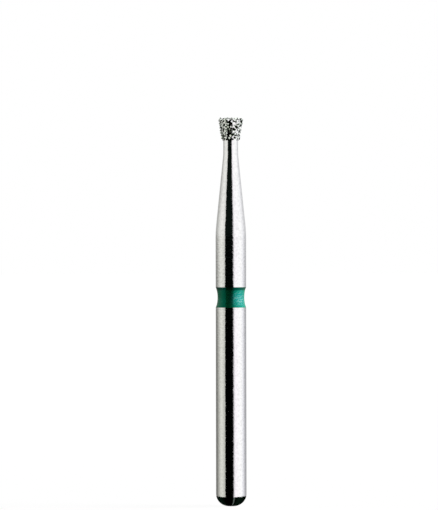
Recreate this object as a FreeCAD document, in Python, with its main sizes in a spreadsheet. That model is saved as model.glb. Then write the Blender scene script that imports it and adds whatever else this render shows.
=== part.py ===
"""Dental bur: a turned steel shank whose small inverted-cone head is plated with diamond grit.

The bur stands along +Z with its head up. The origin is on the axis, at the shank's rounded end.
Lengths are millimetres and angles are degrees.
"""

import FreeCAD
import Part

import itertools
import math
import os
import random

import Sketcher

SIZES = {
    # steel blank, from the rounded end upwards
    "shank_diameter": 1.60,
    "shank_length": 13.96,
    "end_corner_radius": 0.65,
    "taper_length": 4.60,
    "shank_blend_radius": 8.0,
    "neck_blend_radius": 4.0,
    "neck_diameter": 0.78,
    "neck_length": 0.52,
    # inverted cone of the head, before plating
    "core_root_diameter": 0.69,
    "core_end_diameter": 1.03,
    "core_length": 1.05,
    # colour ring
    "ring_height": 10.90,
    "ring_width": 1.06,
    "ring_dip": 0.10,
    "ring_lip_depth": 0.05,
    "ring_lip_width": 0.13,
    "groove_depth": 0.18,
    "groove_flank_angle": 30.0,
    # plated coat
    "bond_thickness": 0.075,
    "grain_size": 0.180,
    "grain_seat": 0.012,
    "grain_gap": 0.004,
}

GRAIN_SEED = 7
GRAIN_SMALLEST = 0.88  # least share of the grit size that a grain has
GRAIN_SHORTEST = 0.80  # least share of its size that a grain keeps along one of its own axes
GRAIN_DROPS = 12000  # grains that fall on the head, most of them where no room is left

START, END, CENTRE = range(1, 4)  # the points of a sketch line or arc
ORIGIN = (-1, START)


def make_sheet(doc):
    """Writes the driving sizes to a sheet, one row each, and names their cells."""
    sheet = doc.addObject("Spreadsheet::Sheet", "Sizes")
    for row, (name, value) in enumerate(SIZES.items(), start=1):
        sheet.set(f"A{row}", name)
        sheet.set(f"B{row}", str(value))
        sheet.setAlias(f"B{row}", name)
    doc.recompute()
    return sheet


def read_sizes(sheet):
    """The sheet's values, and the places that follow from them."""
    size = {name: float(sheet.get(name)) for name in SIZES}
    size["shank_radius"] = size["shank_diameter"] / 2
    size["neck_radius"] = size["neck_diameter"] / 2
    size["taper_end"] = size["shank_length"] + size["taper_length"]
    size["core_root_radius"] = size["core_root_diameter"] / 2
    size["core_end_radius"] = size["core_end_diameter"] / 2
    size["head_root"] = size["taper_end"] + size["neck_length"]
    size["core_end"] = size["head_root"] + size["core_length"]
    size["grain_height"] = size["grain_size"] / 2 + size["grain_seat"]
    return size


TAPER_END = "Sizes.shank_length + Sizes.taper_length"
HEAD_ROOT = TAPER_END + " + Sizes.neck_length"
CORE_END = HEAD_ROOT + " + Sizes.core_length"


def half_section(body, name):
    """An empty sketch in the plane through the axis: its x is the radius and its y the height."""
    plane = next(f for f in body.Origin.OriginFeatures if f.Role == "XZ_Plane")
    sketch = body.newObject("Sketcher::SketchObject", name)
    sketch.AttachmentSupport = [(plane, "")]
    sketch.MapMode = "FlatFace"
    return sketch


def point(radius, height):
    return FreeCAD.Vector(radius, height, 0)


def along(start, angle, length):
    """The point that lies length from start, in the direction of angle."""
    return (start[0] + length * math.cos(angle), start[1] + length * math.sin(angle))


def add_line(sketch, first, last):
    return sketch.addGeometry(Part.LineSegment(point(*first), point(*last)))


def add_arc(sketch, centre, first, last):
    """An arc that turns anticlockwise about centre, from first to last."""
    middle = point(*centre)
    to_first, to_last = point(*first) - middle, point(*last) - middle
    circle = Part.Circle(middle, FreeCAD.Vector(0, 0, 1), to_first.Length)
    first_angle = math.atan2(to_first.y, to_first.x)
    last_angle = math.atan2(to_last.y, to_last.x)
    if last_angle < first_angle:
        last_angle += 2 * math.pi
    return sketch.addGeometry(Part.ArcOfCircle(circle, first_angle, last_angle))


def constrain(sketch, kind, *places):
    sketch.addConstraint(Sketcher.Constraint(kind, *places))


def drive(sketch, kind, places, value, expression):
    """A dimension that starts at value and follows the sheet by expression."""
    index = sketch.addConstraint(Sketcher.Constraint(kind, *places, value))
    sketch.setExpression(f"Constraints[{index}]", expression)


def drive_radius(sketch, place, value, expression):
    drive(sketch, "DistanceX", (*ORIGIN, *place), value, expression)


def drive_height(sketch, place, value, expression):
    drive(sketch, "DistanceY", (*ORIGIN, *place), value, expression)


def turn(body, sketch, kind="PartDesign::Revolution", name="turned"):
    """Turns the half section once round the axis, to add material or, as a groove, to cut it."""
    feature = body.newObject(kind, name)
    feature.Profile = sketch
    feature.ReferenceAxis = (sketch, ["V_Axis"])
    feature.Angle = 360
    sketch.Visibility = False
    return feature


def taper_lean(size):
    """The angle between the axis and the line that touches both of the taper's blends."""
    blends = size["shank_blend_radius"] + size["neck_blend_radius"]
    across = blends - (size["shank_radius"] - size["neck_radius"])
    apart = math.hypot(across, size["taper_length"])
    return math.atan2(size["taper_length"], across) - math.acos(blends / apart)


def draw_blank(body, size):
    """Half section of the turned blank: rounded end, shank, taper, neck and bare head."""
    sketch = half_section(body, "blank_section")
    end_radius = size["shank_radius"] - size["end_corner_radius"]
    end_top = size["end_corner_radius"]
    axis_end = (0, 0)
    end_edge = (end_radius, 0)
    shank_bottom = (size["shank_radius"], end_top)
    shank_top = (size["shank_radius"], size["shank_length"])
    shank_blend_centre = (size["shank_radius"] - size["shank_blend_radius"], size["shank_length"])
    neck_blend_centre = (size["neck_radius"] + size["neck_blend_radius"], size["taper_end"])
    neck_bottom = (size["neck_radius"], size["taper_end"])
    neck_top = (size["neck_radius"], size["head_root"])
    core_root = (size["core_root_radius"], size["head_root"])
    core_end = (size["core_end_radius"], size["core_end"])
    axis_top = (0, size["core_end"])
    lean = taper_lean(size)
    taper_bottom = along(shank_blend_centre, lean, size["shank_blend_radius"])
    taper_top = along(neck_blend_centre, lean, -size["neck_blend_radius"])

    flat = add_line(sketch, axis_end, end_edge)
    corner = add_arc(sketch, (end_radius, end_top), end_edge, shank_bottom)
    shank = add_line(sketch, shank_bottom, shank_top)
    shank_blend = add_arc(sketch, shank_blend_centre, shank_top, taper_bottom)
    taper = add_line(sketch, taper_bottom, taper_top)
    neck_blend = add_arc(sketch, neck_blend_centre, neck_bottom, taper_top)
    neck = add_line(sketch, neck_bottom, neck_top)
    shoulder = add_line(sketch, neck_top, core_root)
    core = add_line(sketch, core_root, core_end)
    top = add_line(sketch, core_end, axis_top)
    axis = add_line(sketch, axis_top, axis_end)

    constrain(sketch, "Coincident", flat, START, *ORIGIN)
    constrain(sketch, "Tangent", flat, END, corner, START)
    constrain(sketch, "Tangent", corner, END, shank, START)
    constrain(sketch, "Tangent", shank, END, shank_blend, START)
    constrain(sketch, "Tangent", shank_blend, END, taper, START)
    constrain(sketch, "Tangent", taper, END, neck_blend, END)
    constrain(sketch, "Tangent", neck_blend, START, neck, START)
    chain = (neck, shoulder, core, top, axis, flat)
    for this, following in zip(chain, chain[1:]):
        constrain(sketch, "Coincident", this, END, following, START)
    for level in (flat, shoulder, top):
        constrain(sketch, "Horizontal", level)
    for upright in (shank, neck, axis):
        constrain(sketch, "Vertical", upright)

    drive(sketch, "Radius", (corner,), end_top, "Sizes.end_corner_radius")
    for blend, alias in ((shank_blend, "shank_blend_radius"), (neck_blend, "neck_blend_radius")):
        drive(sketch, "Radius", (blend,), size[alias], f"Sizes.{alias}")
    drive_radius(sketch, (shank, END), size["shank_radius"], "Sizes.shank_diameter / 2")
    drive_height(sketch, (shank, END), size["shank_length"], "Sizes.shank_length")
    drive_radius(sketch, (neck, START), size["neck_radius"], "Sizes.neck_diameter / 2")
    drive_height(sketch, (neck, START), size["taper_end"], TAPER_END)
    drive_radius(sketch, (core, START), size["core_root_radius"], "Sizes.core_root_diameter / 2")
    drive_height(sketch, (core, START), size["head_root"], HEAD_ROOT)
    drive_radius(sketch, (core, END), size["core_end_radius"], "Sizes.core_end_diameter / 2")
    drive_height(sketch, (core, END), size["core_end"], CORE_END)
    return sketch


def draw_groove(sketch, size):
    """The colour ring's seat: a floor between two flanks that lean out to the shank's surface."""
    lean = math.tan(math.radians(size["groove_flank_angle"]))
    half_width = size["ring_width"] / 2
    half_floor = half_width - size["groove_depth"] * lean
    floor_radius = size["shank_radius"] - size["groove_depth"]
    low_lip = (size["shank_radius"], size["ring_height"] - half_width)
    low_floor = (floor_radius, size["ring_height"] - half_floor)
    high_floor = (floor_radius, size["ring_height"] + half_floor)
    high_lip = (size["shank_radius"], size["ring_height"] + half_width)

    low_flank = add_line(sketch, low_lip, low_floor)
    floor = add_line(sketch, low_floor, high_floor)
    high_flank = add_line(sketch, high_floor, high_lip)

    constrain(sketch, "Coincident", low_flank, END, floor, START)
    constrain(sketch, "Coincident", floor, END, high_flank, START)
    constrain(sketch, "Vertical", floor)
    lip_radius = "Sizes.shank_diameter / 2"
    drive_radius(sketch, (low_flank, START), size["shank_radius"], lip_radius)
    drive_radius(sketch, (high_flank, END), size["shank_radius"], lip_radius)
    drive_radius(sketch, (floor, START), floor_radius, lip_radius + " - Sizes.groove_depth")
    rise = "Sizes.groove_depth * tan(Sizes.groove_flank_angle * 1 deg)"
    for place, height, offset in (
        ((low_flank, START), low_lip[1], "- Sizes.ring_width / 2"),
        ((floor, START), low_floor[1], f"- Sizes.ring_width / 2 + {rise}"),
        ((floor, END), high_floor[1], f"+ Sizes.ring_width / 2 - {rise}"),
        ((high_flank, END), high_lip[1], "+ Sizes.ring_width / 2"),
    ):
        drive_height(sketch, place, height, "Sizes.ring_height " + offset)
    return low_flank, low_lip, high_flank, high_lip


def make_shank(doc, size):
    """One piece of steel: shank, ring groove, taper, neck and the bare inverted cone."""
    body = doc.addObject("PartDesign::Body", "shank")
    body.Label = "shank"
    blank = turn(body, draw_blank(body, size), name="turned_blank")

    groove_section = half_section(body, "groove_section")
    low_flank, low_lip, high_flank, high_lip = draw_groove(groove_section, size)
    mouth = add_line(groove_section, high_lip, low_lip)
    constrain(groove_section, "Coincident", high_flank, END, mouth, START)
    constrain(groove_section, "Coincident", mouth, END, low_flank, START)
    groove = turn(body, groove_section, "PartDesign::Groove", "ring_groove")
    doc.recompute()
    if groove.Shape.Volume >= blank.Shape.Volume:
        raise ValueError("the ring groove cuts nothing")
    return body


def make_colour_ring(doc, size):
    """Baked lacquer that fills the groove: it drops away at its lips, then sinks in a shallow arc."""
    body = doc.addObject("PartDesign::Body", "colour_ring")
    body.Label = "colour_ring"
    sketch = half_section(body, "ring_section")
    low_flank, low_lip, high_flank, high_lip = draw_groove(sketch, size)

    half_face = size["ring_width"] / 2 - size["ring_lip_width"]
    face_dip = size["ring_dip"] - size["ring_lip_depth"]
    knee_radius = size["shank_radius"] - size["ring_lip_depth"]
    low_knee = (knee_radius, size["ring_height"] - half_face)
    high_knee = (knee_radius, size["ring_height"] + half_face)
    face_radius = (half_face**2 + face_dip**2) / (2 * face_dip)
    centre = (knee_radius - face_dip + face_radius, size["ring_height"])

    high_edge = add_line(sketch, high_lip, high_knee)
    face = add_arc(sketch, centre, high_knee, low_knee)
    low_edge = add_line(sketch, low_knee, low_lip)
    constrain(sketch, "Coincident", high_flank, END, high_edge, START)
    constrain(sketch, "Coincident", high_edge, END, face, START)
    constrain(sketch, "Coincident", face, END, low_edge, START)
    constrain(sketch, "Coincident", low_edge, END, low_flank, START)

    half_rule = "(Sizes.ring_width / 2 - Sizes.ring_lip_width)"
    dip_rule = "(Sizes.ring_dip - Sizes.ring_lip_depth)"
    knee_rule = "Sizes.shank_diameter / 2 - Sizes.ring_lip_depth"
    for place, height, sign in (((face, START), high_knee[1], "+"), ((face, END), low_knee[1], "-")):
        drive_radius(sketch, place, knee_radius, knee_rule)
        drive_height(sketch, place, height, f"Sizes.ring_height {sign} {half_rule}")
    radius_rule = f"({half_rule} ^ 2 + {dip_rule} ^ 2) / (2 * {dip_rule})"
    drive(sketch, "Radius", (face,), face_radius, radius_rule)
    turn(body, sketch)
    return body


def make_bond_blank(doc, size):
    """The plated nickel coat before the grains sit in it: one even thickness over the cone and its end."""
    body = doc.addObject("PartDesign::Body", "bond_blank")
    sketch = half_section(body, "bond_section")
    thickness = size["bond_thickness"]
    tilt = cone_tilt(size)
    core_root = (size["core_root_radius"], size["head_root"])
    core_end = (size["core_end_radius"], size["core_end"])
    side_top = (core_end[0] + thickness * math.cos(tilt), core_end[1] - thickness * math.sin(tilt))
    side_root = (core_root[0] + thickness / math.cos(tilt), core_root[1])
    end_face = core_end[1] + thickness

    core = add_line(sketch, core_root, core_end)
    core_top = add_line(sketch, core_end, (0, core_end[1]))
    axis = add_line(sketch, (0, core_end[1]), (0, end_face))
    end = add_line(sketch, (0, end_face), (core_end[0], end_face))
    corner = add_arc(sketch, core_end, side_top, (core_end[0], end_face))
    side = add_line(sketch, side_top, side_root)
    rim = add_line(sketch, side_root, core_root)

    constrain(sketch, "Coincident", core, END, core_top, START)
    constrain(sketch, "Coincident", core_top, END, axis, START)
    constrain(sketch, "Coincident", axis, END, end, START)
    constrain(sketch, "Tangent", end, END, corner, END)
    constrain(sketch, "Tangent", corner, START, side, START)
    constrain(sketch, "Coincident", corner, CENTRE, core, END)
    constrain(sketch, "Coincident", side, END, rim, START)
    constrain(sketch, "Coincident", rim, END, core, START)
    constrain(sketch, "Vertical", axis, START, *ORIGIN)
    constrain(sketch, "Parallel", core, side)
    constrain(sketch, "Vertical", axis)
    for level in (core_top, end, rim):
        constrain(sketch, "Horizontal", level)
    drive(sketch, "Radius", (corner,), thickness, "Sizes.bond_thickness")
    drive_radius(sketch, (core, START), core_root[0], "Sizes.core_root_diameter / 2")
    drive_radius(sketch, (core, END), core_end[0], "Sizes.core_end_diameter / 2")
    drive_height(sketch, (core, START), size["head_root"], HEAD_ROOT)
    drive_height(sketch, (core, END), size["core_end"], CORE_END)
    turn(body, sketch)
    return body


def cone_tilt(size):
    """The angle between the head's side and the axis, in radians."""
    return math.atan2(size["core_end_radius"] - size["core_root_radius"], size["core_length"])


def coat_lengths(size):
    """How far the middles of the grains go up the side, round the corner and in to the axis."""
    tilt = cone_tilt(size)
    side = size["core_length"] / math.cos(tilt)
    corner = size["grain_height"] * (math.pi / 2 + tilt)
    return side, corner, size["core_end_radius"]


def seat_at(size, distance):
    """The radius and height of a grain's middle, and the angle at which the core faces it there.

    distance runs along the coat's half section, from the head's root to the axis.
    """
    tilt = cone_tilt(size)
    side, corner, _ = coat_lengths(size)
    if distance < side:
        facing = -tilt
        foot = along((size["core_root_radius"], size["head_root"]), math.pi / 2 - tilt, distance)
    elif distance < side + corner:
        facing = (distance - side) / size["grain_height"] - tilt
        foot = (size["core_end_radius"], size["core_end"])
    else:
        facing = math.pi / 2
        foot = (size["core_end_radius"] - (distance - side - corner), size["core_end"])
    radius, height = along(foot, facing, size["grain_height"])
    return radius, height, facing


def cube_faces():
    """The faces of a cube, each as a ring of its corners' signs along the three axes."""
    faces = []
    for axis, side in itertools.product(range(3), (-1, 1)):
        ring = []
        for first, second in ((1, 1), (1, -1), (-1, -1), (-1, 1)):
            signs = [first, second]
            signs.insert(axis, side)
            ring.append(tuple(signs))
        faces.append(ring)
    return faces


def octahedron_faces():
    """The faces of an octahedron, in the same way."""
    return [[(x, 0, 0), (0, y, 0), (0, 0, z)] for x, y, z in itertools.product((-1, 1), repeat=3)]


HABITS = (cube_faces(), octahedron_faces())  # the two forms that diamond grows in


class Grain:
    """One crystal: its faces, its corners as seen from its middle, and its middle."""

    def __init__(self, size, seat, bearing, chance):
        self.faces = chance.choice(HABITS)
        shares = [chance.uniform(GRAIN_SHORTEST, 1) for _ in range(3)]
        spin = FreeCAD.Rotation(*[chance.gauss(0, 1) for _ in range(4)])
        radius = size["grain_size"] / 2 * chance.uniform(GRAIN_SMALLEST, 1)
        self.corners = {}
        for signs in itertools.chain(*self.faces):
            way = FreeCAD.Vector(*[sign * share for sign, share in zip(signs, shares)])
            self.corners[signs] = spin.multVec(way) * radius / FreeCAD.Vector(*signs).Length
        self.middle = self.seated(size, seat, bearing)
        self.farthest = max(corner.Length for corner in self.corners.values())

    def reach(self, way):
        """How far the crystal goes from its middle in that direction."""
        return max(corner.dot(way) for corner in self.corners.values())

    def seated(self, size, seat, bearing):
        """The middle that leaves the lowest corner the seat's height over the core."""
        seat_radius, seat_height, facing = seat
        round_axis = FreeCAD.Vector(math.cos(bearing), math.sin(bearing), 0)
        upwards = FreeCAD.Vector(0, 0, 1)
        outwards = round_axis * math.cos(facing) + upwards * math.sin(facing)
        sink = size["grain_height"] - size["grain_seat"] - self.reach(-outwards)
        return round_axis * seat_radius + upwards * seat_height - outwards * sink

    def clears(self, other, gap):
        """Whether the two crystals end before they meet, along the line between their middles."""
        line = other.middle - self.middle
        apart = line.Length
        if self.farthest + other.farthest + gap < apart:
            return True
        line.normalize()
        return self.reach(line) + other.reach(-line) + gap < apart

    def solid(self):
        planes = []
        for face in self.faces:
            ring = [self.middle + self.corners[signs] for signs in face]
            planes.append(Part.Face(Part.makePolygon(ring + ring[:1])))
        crystal = Part.Solid(Part.Shell(planes))
        if crystal.Volume < 0:
            crystal.reverse()
        return crystal


def drop_grain(size, chance):
    """A grain that falls anywhere on the head, each part of the surface as likely as its area."""
    length = sum(coat_lengths(size))
    widest = size["core_end_radius"] + size["grain_height"]
    seat = seat_at(size, chance.uniform(0, length))
    while seat[0] < chance.uniform(0, widest):
        seat = seat_at(size, chance.uniform(0, length))
    return Grain(size, seat, chance.uniform(0, 2 * math.pi), chance)


def make_grains(doc, size):
    """The diamond grit: crystals dropped at random, of which those stay that clear the rest."""
    chance = random.Random(GRAIN_SEED)
    root = size["head_root"] + size["grain_gap"]
    grains = []
    for _ in range(GRAIN_DROPS):
        grain = drop_grain(size, chance)
        over_root = grain.middle.z - grain.reach(FreeCAD.Vector(0, 0, -1)) > root
        if over_root and all(grain.clears(other, size["grain_gap"]) for other in grains):
            grains.append(grain)
    feature = doc.addObject("Part::Feature", "diamond_grains")
    feature.Label = "diamond_grains"
    feature.Shape = Part.makeCompound([grain.solid() for grain in grains])
    return feature


def make_bond(doc, blank, grains):
    """The nickel coat with a pocket for every grain."""
    bond = doc.addObject("Part::Cut", "nickel_bond")
    bond.Label = "nickel_bond"
    bond.Base = blank
    bond.Tool = grains
    return bond


def check(doc, parts):
    """Stops if an object failed, a sketch can move, or a part's shape is missing or broken."""
    for item in doc.Objects:
        if {"Invalid", "Error"} & set(item.State):
            raise ValueError(f"{item.Label} failed: {item.State}")
        if item.TypeId == "Sketcher::SketchObject" and not item.FullyConstrained:
            raise ValueError(f"{item.Label} is not fully constrained")
    for item in parts:
        if item.Shape.isNull() or not item.Shape.isValid() or not item.Shape.Solids:
            raise ValueError(f"{item.Label} has no valid solid")


def main():
    doc = FreeCAD.newDocument("dental_bur")
    size = read_sizes(make_sheet(doc))
    shank = make_shank(doc, size)
    ring = make_colour_ring(doc, size)
    bond_blank = make_bond_blank(doc, size)
    grains = make_grains(doc, size)
    bond = make_bond(doc, bond_blank, grains)
    doc.recompute()
    parts = (shank, ring, bond, grains)
    check(doc, parts)
    os.makedirs("parts", exist_ok=True)
    for item in parts:
        item.Shape.exportStep(f"parts/{item.Label}.step")


main()
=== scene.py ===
"""Dresses the dental bur: satin steel shank, green lacquer ring and a head of diamond grit.

Sizes are metres, and angles are degrees unless a name says otherwise.
"""

import math

import bmesh
import bpy
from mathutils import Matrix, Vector


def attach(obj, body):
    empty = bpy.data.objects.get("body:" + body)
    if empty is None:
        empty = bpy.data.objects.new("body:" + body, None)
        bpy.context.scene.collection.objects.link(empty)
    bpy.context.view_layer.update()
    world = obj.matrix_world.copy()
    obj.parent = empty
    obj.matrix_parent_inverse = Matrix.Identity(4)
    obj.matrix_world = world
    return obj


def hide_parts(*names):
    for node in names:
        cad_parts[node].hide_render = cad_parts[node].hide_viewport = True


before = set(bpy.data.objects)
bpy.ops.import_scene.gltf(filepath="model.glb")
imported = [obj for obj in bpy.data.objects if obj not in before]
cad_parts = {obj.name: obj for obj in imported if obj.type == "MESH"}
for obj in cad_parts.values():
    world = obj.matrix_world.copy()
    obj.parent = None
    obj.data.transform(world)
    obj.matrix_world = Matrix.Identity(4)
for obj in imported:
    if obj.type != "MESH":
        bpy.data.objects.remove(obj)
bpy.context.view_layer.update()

MM = 0.001

# the same sizes as in the part's source
SHANK_RADIUS = 0.80 * MM
SHANK_LENGTH = 13.96 * MM
END_CORNER = 0.65 * MM
TAPER_LENGTH = 4.60 * MM
SHANK_BLEND = 8.0 * MM
NECK_BLEND = 4.0 * MM
NECK_RADIUS = 0.39 * MM
NECK_LENGTH = 0.52 * MM
CORE_ROOT_RADIUS = 0.345 * MM
CORE_END_RADIUS = 0.515 * MM
CORE_LENGTH = 1.05 * MM
RING_HEIGHT = 10.90 * MM
RING_WIDTH = 1.06 * MM
RING_DIP = 0.10 * MM
RING_LIP_DEPTH = 0.05 * MM
RING_LIP_WIDTH = 0.13 * MM
GROOVE_DEPTH = 0.18 * MM
GROOVE_FLANK = 30

RUBS_AND_SHEEN_AT = (0.50 * MM, -0.60 * MM, RING_HEIGHT - 0.07 * MM)  # where the lacquer is rubbed, and where a painted sheen lies on its front right
RUBS_AND_SHEEN_REACH = 0.65 * MM
PAINTED_SHADE_DEPTH = 0.12 * MM  # how far down from its upper lip the painted shade on the lacquer is darkest
PAINTED_SHADE_FADE = 0.06 * MM  # the height below that over which the painted shade fades
PAINTED_SHADE_DARK = 0.25  # how much of the lacquer's colour the painted shade leaves at its darkest

# how many cells of noise a metre holds, and how high the relief that they make stands
SPECKLE_CELLS, SPECKLE_RELIEF = 9000, 0.004 * MM
MARKS_CELLS, MARKS_RELIEF = 3000, 0.003 * MM
RUBS_CELLS, RUBS_RELIEF = 5000, 0.004 * MM
PITS_CELLS, PITS_RELIEF = 10000, 0.002 * MM
PITS_START = 1.5 * MM  # another length lays the bond's pits out otherwise

TURNS = 128  # steps round the axis
SECTION_STEP = 0.25 * MM  # the longest step along the steel's half section
GRAIN_WELD = 0.0005 * MM  # corners of a grain nearer than this are one
GRAIN_FLAT = 2  # faces of a grain that differ by fewer degrees are one
GRAIN_DARK = 0.34  # the share of the grains that are nearly black
GRAIN_CHANGE = 0.02  # the share that is between the dark tint and the clear one
GRAIN_DRAW = 3  # another whole number draws other grains as the dark ones

# the photograph
PHOTO_WIDTH, PHOTO_HEIGHT = 438, 510
PIXEL = 0.05225 * MM
AXIS_COLUMN = 230.83
FOOT_ROW = 505.9
LEAN = 0.11  # the bur leans this much to the left in the photograph
LENS = 200  # millimetres, as the sensor's width is
SENSOR = 36

# the studio
TENT_RADIUS = 1.0
TENT_BOTTOM, TENT_TOP = -2.75, 1.5
PAD_MIRRORED = 10.5  # how far round the bur's end corner the pad's edge is seen
PAD_TURN = 85  # how far it is seen from the camera's side, to the left and to the right
SLITS_MEET = 0.27 * MM  # how far in front of the bur's axis the lines of the pad's slits meet
LAMP_DISTANCE = 1.5
LAMP_SIZE = 0.7
PALER_FROM, PALER_TO = -0.03, 0.05  # the heights between which the tent's walls turn paler
PALER_GAMMA = 0.48
SKY_FILL = 0.02  # how strongly the sky lights the bur itself
FLOOR_RADIUS = 1.5
FLOOR_LIT = 0.2  # how far round the bur the floor keeps the lamps' light and shadow
FLOOR_SHADE = 0.12  # how pale the floor itself is there
FLOOR_OWN = 0.96  # the white that it adds of its own

NEUTRAL = (1.0, 1.0, 1.0)
WARM = (1.0, 1.0, 0.92)
GREENISH = (0.3, 1.0, 0.6)
COOL = (0.98, 0.98, 1.03)
PINKISH = (1.0, 0.95, 1.0)
PALE_GREEN = (0.8, 1.0, 0.9)
TENT_SHADES = (
    # degrees from the camera round to the bur's right, how pale the tent's wall is there, and its tint
    (-180, 0.70, NEUTRAL),
    (-160, 0.50, NEUTRAL),
    (-150, 0.15, WARM),
    (-125, 0.22, WARM),
    (-86, 0.68, WARM),
    (-75, 0.74, WARM),
    (-50, 0.52, WARM),
    (-46, 0.47, WARM),
    (-45, 0.00002, GREENISH),
    (15, 0.00002, GREENISH),
    (24, 0.80, PINKISH),
    (32, 1.02, PINKISH),
    (80, 1.05, NEUTRAL),
    (98, 0.92, COOL),
    (125, 0.48, COOL),
    (150, 0.35, COOL),
    (180, 0.70, NEUTRAL),
)
PAD_SHADES = (
    # the same for the pad, round the line where its slits meet
    (-85, 0.006, GREENISH),
    (-50, 0.0, NEUTRAL),
    (14, 0.0, NEUTRAL),
    (21, 0.16, PALE_GREEN),
    (28, 0.0, NEUTRAL),
    (60, 0.008, GREENISH),
    (150, 0.0, NEUTRAL),
    (170, 0.10, PALE_GREEN),
    (178, 0.0, NEUTRAL),
)


# meshes


def arc(centre, radius, first, last, steps):
    """Points (radius, height) of an arc of the half section, between two angles."""
    points = []
    for step in range(steps + 1):
        angle = math.radians(first + (last - first) * step / steps)
        points.append((centre[0] + radius * math.cos(angle), centre[1] + radius * math.sin(angle)))
    return points


def taper_lean():
    """The taper's half angle: that of the line that touches both of its blends."""
    blends = SHANK_BLEND + NECK_BLEND
    across = blends - (SHANK_RADIUS - NECK_RADIUS)
    apart = math.hypot(across, TAPER_LENGTH)
    return math.degrees(math.atan2(TAPER_LENGTH, across) - math.acos(blends / apart))


def spaced(section, step):
    """The section with points added, so that none is further than a step from the last."""
    points = [section[0]]
    for first, last in zip(section, section[1:]):
        parts = max(1, math.ceil(math.dist(first, last) / step))
        for part in range(1, parts + 1):
            share = part / parts
            points.append(tuple(a + (b - a) * share for a, b in zip(first, last)))
    return points


def add_piece(name, mesh):
    """A new object in the scene, from a bmesh."""
    data = bpy.data.meshes.new(name)
    mesh.to_mesh(data)
    mesh.free()
    piece = bpy.data.objects.new(name, data)
    bpy.context.scene.collection.objects.link(piece)
    return piece


def bridge(mesh, low, high):
    """Faces between two rings of points, of which either may be one point on the axis."""
    for turn in range(TURNS):
        after = (turn + 1) % TURNS
        corners = [low[turn % len(low)], low[after % len(low)]]
        corners += [high[after % len(high)], high[turn % len(high)]]
        mesh.faces.new(list(dict.fromkeys(corners)))


def lathe(name, section, closed=False):
    """A mesh turned from a half section of (radius, height) points about the axis."""
    mesh = bmesh.new()
    rings = []
    for radius, height in section:
        if radius == 0:
            rings.append([mesh.verts.new((0, 0, height))])
            continue
        ring = []
        for turn in range(TURNS):
            angle = 2 * math.pi * turn / TURNS
            ring.append(mesh.verts.new((radius * math.cos(angle), radius * math.sin(angle), height)))
        rings.append(ring)
    if closed:
        rings.append(rings[0])
    for low, high in zip(rings, rings[1:]):
        bridge(mesh, low, high)
    bmesh.ops.recalc_face_normals(mesh, faces=mesh.faces)
    return add_piece(name, mesh)


def shade_smooth(piece, angle):
    """Smooth shading, apart from edges sharper than the angle."""
    piece.data.shade_smooth()
    piece.data.set_sharp_from_angle(angle=math.radians(angle))


def stand_in(piece, node, made):
    """Puts the piece in the place of a node of the frame, with its material."""
    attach(piece, "root")
    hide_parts(node)
    piece.data.materials.append(made)


def shank_section():
    """Half section of the steel, from the flat of its rounded end to the middle of its bare head."""
    lean = taper_lean()
    flank = GROOVE_DEPTH * math.tan(math.radians(GROOVE_FLANK))
    low_lip, high_lip = RING_HEIGHT - RING_WIDTH / 2, RING_HEIGHT + RING_WIDTH / 2
    floor = SHANK_RADIUS - GROOVE_DEPTH
    taper_end = SHANK_LENGTH + TAPER_LENGTH
    root = taper_end + NECK_LENGTH
    section = [(0, 0)]
    section += arc((SHANK_RADIUS - END_CORNER, END_CORNER), END_CORNER, -90, 0, steps=24)
    section += [(SHANK_RADIUS, low_lip), (floor, low_lip + flank)]
    section += [(floor, high_lip - flank), (SHANK_RADIUS, high_lip)]
    section += arc((SHANK_RADIUS - SHANK_BLEND, SHANK_LENGTH), SHANK_BLEND, 0, lean, steps=12)
    section += arc((NECK_RADIUS + NECK_BLEND, taper_end), NECK_BLEND, 180 + lean, 180, steps=10)
    section += [(NECK_RADIUS, root), (CORE_ROOT_RADIUS, root)]
    section += [(CORE_END_RADIUS, root + CORE_LENGTH), (0, root + CORE_LENGTH)]
    return section


def make_shank():
    piece = lathe("shank_turned", spaced(shank_section(), SECTION_STEP))
    shade_smooth(piece, angle=25)
    stand_in(piece, "shank", satin_steel())


def ring_section():
    """Half section of the lacquer: the groove's floor and flanks, its own lips and its sunk face."""
    flank = GROOVE_DEPTH * math.tan(math.radians(GROOVE_FLANK))
    half, floor = RING_WIDTH / 2, SHANK_RADIUS - GROOVE_DEPTH
    half_face = half - RING_LIP_WIDTH
    dip = RING_DIP - RING_LIP_DEPTH
    radius = (half_face**2 + dip**2) / (2 * dip)
    half_turn = math.degrees(math.asin(half_face / radius))
    centre = (SHANK_RADIUS - RING_DIP + radius, RING_HEIGHT)
    section = [(floor, RING_HEIGHT - half + flank), (floor, RING_HEIGHT + half - flank)]
    section += [(SHANK_RADIUS, RING_HEIGHT + half)]
    section += arc(centre, radius, 180 - half_turn, 180 + half_turn, steps=16)
    section += [(SHANK_RADIUS, RING_HEIGHT - half)]
    return section


def make_ring():
    piece = lathe("colour_ring_lacquer", ring_section(), closed=True)
    shade_smooth(piece, angle=50)
    stand_in(piece, "colour_ring", green_lacquer())


def make_grit():
    """The frame's grains, each as one flat-faced crystal that has a tint of its own."""
    mesh = bmesh.new()
    mesh.from_mesh(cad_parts["diamond_grains"].data)
    bmesh.ops.remove_doubles(mesh, verts=mesh.verts, dist=GRAIN_WELD)
    flat = math.radians(GRAIN_FLAT)
    bmesh.ops.dissolve_limit(mesh, angle_limit=flat, verts=mesh.verts, edges=mesh.edges)
    bmesh.ops.recalc_face_normals(mesh, faces=mesh.faces)
    piece = add_piece("diamond_grit", mesh)
    stand_in(piece, "diamond_grains", diamond_grit())


def dress_bond():
    """The bond keeps the frame's own shape, and gets its material."""
    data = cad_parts["nickel_bond"].data
    data.materials.clear()
    data.materials.append(plated_nickel())


# materials


def material(name):
    """A new node material, with its tree and its Principled shader."""
    made = bpy.data.materials.new(name)
    made.use_nodes = True
    return made, made.node_tree, made.node_tree.nodes["Principled BSDF"]


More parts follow.
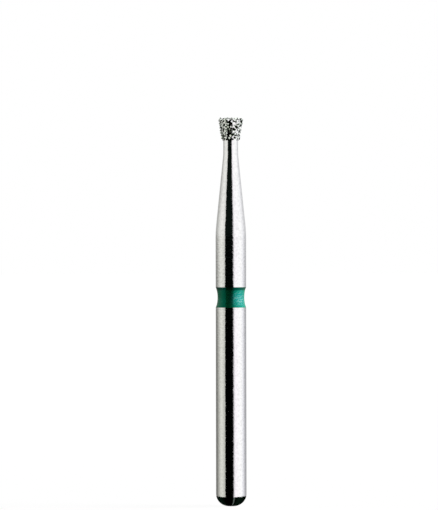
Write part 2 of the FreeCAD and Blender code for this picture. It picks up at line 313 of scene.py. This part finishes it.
def add_node(tree, kind, inputs=None, **settings):
    """A node whose inputs and properties are set by name."""
    node = tree.nodes.new(kind)
    for name, value in settings.items():
        setattr(node, name, value)
    for socket, value in (inputs or {}).items():
        node.inputs[socket].default_value = value
    return node


def object_noise(tree, scale, detail=4, stretch=(1, 1, 1), start=0):
    """Noise over the object's own coordinates; stretch multiplies each axis, and start shifts it."""
    place = add_node(tree, "ShaderNodeTexCoord")
    mapping = add_node(tree, "ShaderNodeMapping", {"Scale": stretch, "Location": (0, 0, start)})
    noise = add_node(tree, "ShaderNodeTexNoise", {"Scale": scale, "Detail": detail})
    tree.links.new(place.outputs["Object"], mapping.inputs["Vector"])
    tree.links.new(mapping.outputs["Vector"], noise.inputs["Vector"])
    return noise.outputs["Fac"]


def ramp(tree, source, stops):
    """A colour ramp with (place, (r, g, b)) stops over a socket."""
    node = add_node(tree, "ShaderNodeValToRGB")
    elements = node.color_ramp.elements
    elements[0].position, elements[1].position = stops[0][0], stops[-1][0]
    for place, _ in stops[1:-1]:
        elements.new(place)
    for element, (_, colour) in zip(elements, stops):
        element.color = (*colour, 1)
    tree.links.new(source, node.inputs["Fac"])
    return node.outputs["Color"]


def spread(tree, source, low, high, from_low=0.3, from_high=0.7):
    """A number between low and high, as the source goes between from_low and from_high."""
    limits = {"From Min": from_low, "From Max": from_high, "To Min": low, "To Max": high}
    node = add_node(tree, "ShaderNodeMapRange", limits)
    tree.links.new(source, node.inputs["Value"])
    return node.outputs["Result"]


def object_height(tree):
    place = add_node(tree, "ShaderNodeTexCoord")
    parts = add_node(tree, "ShaderNodeSeparateXYZ")
    tree.links.new(place.outputs["Object"], parts.inputs["Vector"])
    return parts.outputs["Z"]


def product(tree, first, second):
    node = add_node(tree, "ShaderNodeMath", operation="MULTIPLY")
    tree.links.new(first, node.inputs[0])
    tree.links.new(second, node.inputs[1])
    return node.outputs["Value"]


def distance_from(tree, source, middle):
    """How far the source is from the middle value."""
    less = add_node(tree, "ShaderNodeMath", {1: middle}, operation="SUBTRACT")
    size = add_node(tree, "ShaderNodeMath", operation="ABSOLUTE")
    tree.links.new(source, less.inputs[0])
    tree.links.new(less.outputs["Value"], size.inputs[0])
    return size.outputs["Value"]


def near_point(tree, point, reach):
    """1 at a point of the object, falling to 0 at its reach."""
    place = add_node(tree, "ShaderNodeTexCoord")
    shift = [-part / reach for part in point]
    mapping = add_node(tree, "ShaderNodeMapping", {"Location": shift, "Scale": (1 / reach,) * 3})
    nearness = add_node(tree, "ShaderNodeTexGradient", gradient_type="SPHERICAL")
    tree.links.new(place.outputs["Object"], mapping.inputs["Vector"])
    tree.links.new(mapping.outputs["Vector"], nearness.inputs["Vector"])
    return nearness.outputs["Fac"]


def raise_surface(tree, shader, *layers):
    """Bumps the shader's normal by layers of (source, height in metres), one over the other."""
    under = None
    for source, height in layers:
        node = add_node(tree, "ShaderNodeBump", {"Strength": 1.0, "Distance": height})
        tree.links.new(source, node.inputs["Height"])
        if under:
            tree.links.new(under, node.inputs["Normal"])
        under = node.outputs["Normal"]
    tree.links.new(under, shader.inputs["Normal"])


def satin_steel():
    """Finely ground stainless steel: a close speckle, and turning marks round the axis."""
    made, tree, shader = material("satin_steel")
    speckle = object_noise(tree, SPECKLE_CELLS, detail=2)
    marks = object_noise(tree, MARKS_CELLS, detail=2, stretch=(1, 1, 5))
    tone = ramp(tree, speckle, ((0.35, (0.84, 0.84, 0.84)), (0.55, (0.98, 0.98, 0.98))))
    tree.links.new(tone, shader.inputs["Base Color"])
    tree.links.new(spread(tree, speckle, 0.04, 0.12), shader.inputs["Roughness"])
    shader.inputs["Metallic"].default_value = 1
    raise_surface(tree, shader, (speckle, SPECKLE_RELIEF), (marks, MARKS_RELIEF))
    return made


def green_lacquer():
    """Deep green lacquer, with painted shade under its upper lip, and rub lines and a painted sheen on one
    side.
    """
    made, tree, shader = material("green_lacquer")
    rubs = object_noise(tree, RUBS_CELLS, detail=3, stretch=(1, 1, 1.8))
    # a fine line runs wherever the noise passes its middle
    lines = spread(tree, distance_from(tree, rubs, 0.5), 1, 0.3, from_low=0.01, from_high=0.04)
    # a patch on the front right where the rub lines and a painted sheen pale the lacquer and make it half
    # metallic
    sheen_patch = near_point(tree, RUBS_AND_SHEEN_AT, RUBS_AND_SHEEN_REACH)
    rubs_and_sheen = product(tree, lines, sheen_patch)
    tone = ramp(tree, rubs_and_sheen, ((0.0, (0.0, 0.44, 0.18)), (0.2, (0.02, 0.50, 0.44)), (1.0, (0.6, 0.95, 0.9))))
    # painted shade: the lacquer's colour darkens by height under its upper lip
    painted_shade_end = RING_HEIGHT + RING_WIDTH / 2 - PAINTED_SHADE_DEPTH
    painted_shade = spread(tree, object_height(tree), 1, PAINTED_SHADE_DARK, painted_shade_end - PAINTED_SHADE_FADE, painted_shade_end)
    shaded_tone = add_node(tree, "ShaderNodeVectorMath", operation="SCALE")
    tree.links.new(tone, shaded_tone.inputs["Vector"])
    tree.links.new(painted_shade, shaded_tone.inputs["Scale"])
    tree.links.new(shaded_tone.outputs["Vector"], shader.inputs["Base Color"])
    tree.links.new(spread(tree, rubs_and_sheen, 0.12, 0.4, from_low=0, from_high=1), shader.inputs["Roughness"])
    tree.links.new(spread(tree, sheen_patch, 0, 0.5, from_low=0, from_high=1), shader.inputs["Metallic"])
    shader.inputs["Specular IOR Level"].default_value = 0.5
    shader.inputs["Specular Tint"].default_value = (0.0, 1.0, 0.8, 1)
    raise_surface(tree, shader, (rubs, RUBS_RELIEF))
    return made


def plated_nickel():
    """Bright electroplated nickel, with small pits at random whose near-black colour is painted shade for
    the gaps between the grains.
    """
    made, tree, shader = material("plated_nickel")
    pits_and_shade = object_noise(tree, PITS_CELLS, detail=0, start=PITS_START)
    # the near-black end of this ramp is painted shade between the grains
    tone = ramp(tree, pits_and_shade, ((0.45, (0.01, 0.02, 0.01)), (0.48, (0.96, 0.97, 0.95))))
    tree.links.new(tone, shader.inputs["Base Color"])
    tree.links.new(spread(tree, pits_and_shade, 0.25, 0.12), shader.inputs["Roughness"])
    shader.inputs["Metallic"].default_value = 1
    raise_surface(tree, shader, (pits_and_shade, PITS_RELIEF))
    return made


def diamond_grit():
    """Brilliant crystals, most of them clear and the rest nearly black."""
    made, tree, shader = material("diamond_grit")
    geometry = add_node(tree, "ShaderNodeNewGeometry")
    drawn = add_node(tree, "ShaderNodeMath", {1: GRAIN_DRAW}, operation="MULTIPLY")
    share = add_node(tree, "ShaderNodeMath", operation="FRACT")
    tree.links.new(geometry.outputs["Random Per Island"], drawn.inputs[0])
    tree.links.new(drawn.outputs["Value"], share.inputs[0])
    tints = (
        (0.0, (0.0, 0.005, 0.0)),
        (GRAIN_DARK, (0.03, 0.04, 0.02)),
        (GRAIN_DARK + GRAIN_CHANGE, (0.90, 1.0, 0.88)),
        (1.0, (1.0, 1.0, 1.0)),
    )
    tint = ramp(tree, share.outputs["Value"], tints)
    tree.links.new(tint, shader.inputs["Base Color"])
    shader.inputs["Metallic"].default_value = 1
    shader.inputs["Roughness"].default_value = 0.1
    return made


# the stage


def add_camera():
    """A long lens level with the middle of the photograph."""
    scene = bpy.context.scene
    camera = bpy.data.cameras.new("camera")
    camera.lens, camera.sensor_width = LENS, SENSOR
    camera.sensor_fit = "HORIZONTAL"
    camera.clip_start = 1 * MM
    camera.clip_end = 50
    eye = bpy.data.objects.new("camera", camera)
    across = (PHOTO_WIDTH / 2 - AXIS_COLUMN) * PIXEL
    distance = PHOTO_WIDTH * PIXEL * LENS / SENSOR
    height = (FOOT_ROW - PHOTO_HEIGHT / 2) * PIXEL
    eye.location = (across, -distance, height)
    eye.rotation_euler = (math.radians(90), math.radians(LEAN), 0)
    scene.collection.objects.link(eye)
    scene.camera = eye


def any_ray(tree, *kinds):
    """1 where the ray is one of the kinds that Light Path names, or else 0."""
    path = add_node(tree, "ShaderNodeLightPath")
    total = path.outputs[kinds[0]]
    for kind in kinds[1:]:
        either = add_node(tree, "ShaderNodeMath", operation="MAXIMUM")
        tree.links.new(total, either.inputs[0])
        tree.links.new(path.outputs[kind], either.inputs[1])
        total = either.outputs["Value"]
    return total


def add_world():
    """A sky that is seen and mirrored as white, and lights the bur only faintly."""
    world = bpy.data.worlds.new("sky")
    bpy.context.scene.world = world
    world.use_nodes = True
    tree = world.node_tree
    background = tree.nodes["Background"]
    background.inputs["Color"].default_value = (1, 1, 1, 1)
    seen = any_ray(tree, "Is Camera Ray", "Is Glossy Ray", "Is Transmission Ray")
    strength = spread(tree, seen, SKY_FILL, 1, from_low=0, from_high=1)
    tree.links.new(strength, background.inputs["Strength"])


def add_lamp(name, azimuth, elevation, level):
    """A soft square lamp; level is how bright it makes a white surface that faces it."""
    lamp = bpy.data.lights.new(name, "AREA")
    lamp.size = LAMP_SIZE
    lamp.energy = level * (math.pi * LAMP_DISTANCE) ** 2
    holder = bpy.data.objects.new(name, lamp)
    round_axis, up = math.radians(azimuth - 90), math.radians(elevation)
    holder.location = (
        LAMP_DISTANCE * math.cos(up) * math.cos(round_axis),
        LAMP_DISTANCE * math.cos(up) * math.sin(round_axis),
        LAMP_DISTANCE * math.sin(up),
    )
    holder.rotation_euler = (math.pi / 2 - up, 0, round_axis + math.pi / 2)
    holder.visible_glossy = False
    bpy.context.scene.collection.objects.link(holder)


def add_floor():
    """A plain pale floor, most of whose white is its own, with the bur's faint real shadow."""
    floor = lathe("floor", [(0, 0), (FLOOR_RADIUS, 0)])
    made, tree, shader = material("floor")
    shader.inputs["Base Color"].default_value = (FLOOR_SHADE, FLOOR_SHADE, FLOOR_SHADE, 1)
    shader.inputs["Roughness"].default_value = 1
    shader.inputs["Specular IOR Level"].default_value = 0
    shader.inputs["Emission Color"].default_value = (1, 1, 1, 1)
    nearness = near_point(tree, (0, 0, 0), FLOOR_LIT)
    own = spread(tree, nearness, 1, FLOOR_OWN, from_low=0, from_high=1)
    seen = product(tree, any_ray(tree, "Is Camera Ray"), own)
    tree.links.new(seen, shader.inputs["Emission Strength"])
    floor.data.materials.append(made)
    floor.visible_glossy = False


def only_mirrored(thing):
    """Shows the thing in reflections alone."""
    thing.visible_camera = False
    thing.visible_diffuse = False
    thing.visible_transmission = False
    thing.visible_volume_scatter = False
    thing.visible_shadow = False


def glow(name):
    """A new material that only shines, with its tree and its Emission shader."""
    made = bpy.data.materials.new(name)
    made.use_nodes = True
    tree = made.node_tree
    tree.nodes.clear()
    shine = add_node(tree, "ShaderNodeEmission")
    output = add_node(tree, "ShaderNodeOutputMaterial")
    tree.links.new(shine.outputs["Emission"], output.inputs["Surface"])
    return made, tree, shine


def shades_round(tree, shades, ahead=0):
    """The shades laid round an upright line that is so far ahead of the bur's axis."""
    place = add_node(tree, "ShaderNodeTexCoord")
    turn = (0, 0, math.radians(90))
    turned = add_node(tree, "ShaderNodeMapping", {"Location": (-ahead, 0, 0), "Rotation": turn})
    round_axis = add_node(tree, "ShaderNodeTexGradient", gradient_type="RADIAL")
    tree.links.new(place.outputs["Object"], turned.inputs["Vector"])
    tree.links.new(turned.outputs["Vector"], round_axis.inputs["Vector"])
    stops = []
    for degrees, pale, tint in shades:
        stops.append((degrees / 360 + 0.5, tuple(pale * part for part in tint)))
    return ramp(tree, round_axis.outputs["Fac"], stops)


def tent_glow():
    """The tent's shades, paler towards its top."""
    made, tree, shine = glow("tent")
    paler = add_node(tree, "ShaderNodeGamma")
    tree.links.new(shades_round(tree, TENT_SHADES), paler.inputs["Color"])
    gamma = spread(tree, object_height(tree), 1, PALER_GAMMA, PALER_FROM, PALER_TO)
    tree.links.new(gamma, paler.inputs["Gamma"])
    tree.links.new(paler.outputs["Color"], shine.inputs["Color"])
    return made


def add_tent():
    """The light tent that the metal mirrors: open and black in front, with pale walls."""
    tent = lathe("tent", [(TENT_RADIUS, TENT_BOTTOM), (TENT_RADIUS, TENT_TOP)])
    tent.data.materials.append(tent_glow())
    only_mirrored(tent)


def pad_edge(bearing):
    """The point of the floor that the camera sees mirrored at that bearing of the rounded end."""
    dip = math.radians(PAD_MIRRORED)
    outwards = Vector((math.sin(bearing), -math.cos(bearing), 0))
    normal = outwards * math.cos(dip) - Vector((0, 0, math.sin(dip)))
    middle = outwards * (SHANK_RADIUS - END_CORNER) + Vector((0, 0, END_CORNER))
    place = middle + normal * END_CORNER
    ray = (place - bpy.context.scene.camera.location).reflect(normal)
    return place - ray * (place.z / ray.z)


def add_pad():
    """A nearly black pad at the bur's foot, seen only in reflections, that stands in for the shade there; it
    has two slits of light, and the rounded end mirrors it.
    """
    mesh = bmesh.new()
    edge = []
    for turn in range(-PAD_TURN, PAD_TURN + 1):
        edge.append(mesh.verts.new(pad_edge(math.radians(turn))))
    mesh.faces.new(edge)
    pad = add_piece("pad", mesh)
    made, tree, shine = glow("pad")
    tree.links.new(shades_round(tree, PAD_SHADES, SLITS_MEET), shine.inputs["Color"])
    pad.data.materials.append(made)
    only_mirrored(pad)


bpy.context.scene.view_settings.view_transform = "Standard"
add_camera()
add_world()
add_lamp("key", azimuth=94, elevation=15, level=1.1)
add_lamp("fill", azimuth=-95, elevation=15, level=0.14)
add_floor()
add_tent()
add_pad()
make_shank()
make_ring()
make_grit()
dress_bond()
